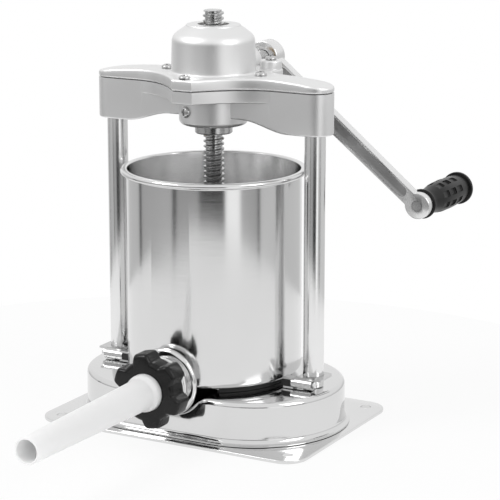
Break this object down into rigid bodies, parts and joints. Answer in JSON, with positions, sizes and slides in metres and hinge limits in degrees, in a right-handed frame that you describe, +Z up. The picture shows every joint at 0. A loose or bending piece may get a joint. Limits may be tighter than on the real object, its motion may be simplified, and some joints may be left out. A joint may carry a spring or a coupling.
{
  "type": "sausage stuffer",
  "caption": "Hand-cranked vertical sausage stuffer: steel cylinder on a drawn base, geared head on columns, lead screw with piston, and a stuffing tube held by a star nut.",
  "frame": {"origin": "centre of the base plate's underside, below the lead screw's axis", "axes": "+Z up along the lead screw, +X to the machine's right, -Y to the front, where the stuffing tube points"},
  "size_m": [0.2625, 0.42, 0.3194],
  "materials": {
    "polished_steel": "mirror polished stainless steel",
    "bright_steel": "bright steel",
    "plain_steel": "plain zinc-plated steel",
    "cast_aluminium": "satin cast aluminium",
    "bronze": "turned bearing bronze",
    "black_plastic": "glossy black moulded plastic",
    "black_rubber": "black rubber",
    "white_plastic": "translucent white plastic",
    "silicone": "pale silicone"
  },
  "bodies": {
    "frame": {"base_plate": "bright_steel", "base_pan": "polished_steel", "foot_spacer_left": "plain_steel", "foot_spacer_right": "plain_steel", "foot_bolt_left": "plain_steel", "foot_bolt_right": "plain_steel", "column_left": "polished_steel", "column_right": "polished_steel", "column_screw_left": "plain_steel", "column_screw_right": "plain_steel", "cylinder_seat": "black_rubber", "cylinder": "polished_steel", "outlet_spout": "polished_steel", "bridge_body": "cast_aluminium", "gear_cover": "cast_aluminium", "cover_screw_front": "bright_steel", "cover_screw_left": "bright_steel", "cover_screw_right": "bright_steel", "cover_screw_back_left": "bright_steel", "cover_screw_back_right": "bright_steel", "bush_screw": "bright_steel", "guide_bush": "bronze", "thrust_bearing": "plain_steel", "shaft_bush": "bronze"},
    "crank": {"crank_shaft": "bright_steel", "bevel_pinion": "plain_steel", "crank_arm": "cast_aluminium", "hub_screw": "bright_steel", "handle_bolt": "bright_steel"},
    "grip": {"handle_grip": "black_plastic"},
    "gear_nut": {"bevel_gear_nut": "bronze"},
    "ram": {"lead_screw": "bright_steel", "piston": "white_plastic", "piston_seal": "silicone", "piston_nut": "plain_steel"},
    "valve": {"air_valve": "silicone"},
    "tube": {"stuffing_tube": "white_plastic"},
    "star": {"star_nut": "black_plastic"},
    "clip_left": {"clip_bracket_left": "bright_steel", "clip_pad_left": "black_rubber", "clip_pin_left": "polished_steel"},
    "clip_right": {"clip_bracket_right": "bright_steel", "clip_pad_right": "black_rubber", "clip_pin_right": "polished_steel"}
  },
  "joints": [
    {"name": "crank_turn", "type": "hinge", "parent": "frame", "child": "crank", "pos_m": [0, 0.085, 0.2738], "axis": [0, 1, 0], "range_deg": [0, 28080]},
    {"name": "gear_nut_turn", "type": "hinge", "parent": "frame", "child": "gear_nut", "pos_m": [0, 0, 0.25], "axis": [0, 0, 1], "range_deg": [-14041, 1]},
    {"name": "screw_slide", "type": "slide", "parent": "frame", "child": "ram", "axis": [0, 0, 1], "range_m": [0, 0.1561]},
    {"name": "grip_spin", "type": "hinge", "parent": "crank", "child": "grip", "pos_m": [0.13442, 0.0894, 0.16649], "axis": [0, 1, 0], "continuous": true},
    {"name": "valve_lift", "type": "slide", "parent": "ram", "child": "valve", "axis": [0, 0, 1], "range_m": [0, 0.002]},
    {"name": "tube_slide", "type": "slide", "parent": "frame", "child": "tube", "axis": [0, -1, 0], "range_m": [0, 0.0181]},
    {"name": "star_nut_turn", "type": "hinge", "parent": "tube", "child": "star", "pos_m": [0, -0.095, 0.046], "axis": [0, -1, 0], "range_deg": [0, 2160]},
    {"name": "clip_left_swing", "type": "hinge", "parent": "frame", "child": "clip_left", "pos_m": [-0.087, 0, 0.041], "axis": [0, 0, -1], "range_deg": [0, 90]},
    {"name": "clip_right_swing", "type": "hinge", "parent": "frame", "child": "clip_right", "pos_m": [0.087, 0, 0.041], "axis": [0, 0, 1], "range_deg": [0, 90]}
  ],
  "couplings": [
    {"joint": "gear_nut_turn", "follows": "crank_turn", "ratio": -0.5},
    {"joint": "screw_slide", "follows": "crank_turn", "m_per_rad": 0.00031831},
    {"joint": "tube_slide", "follows": "star_nut_turn", "m_per_rad": 0.00047746}
  ]
}
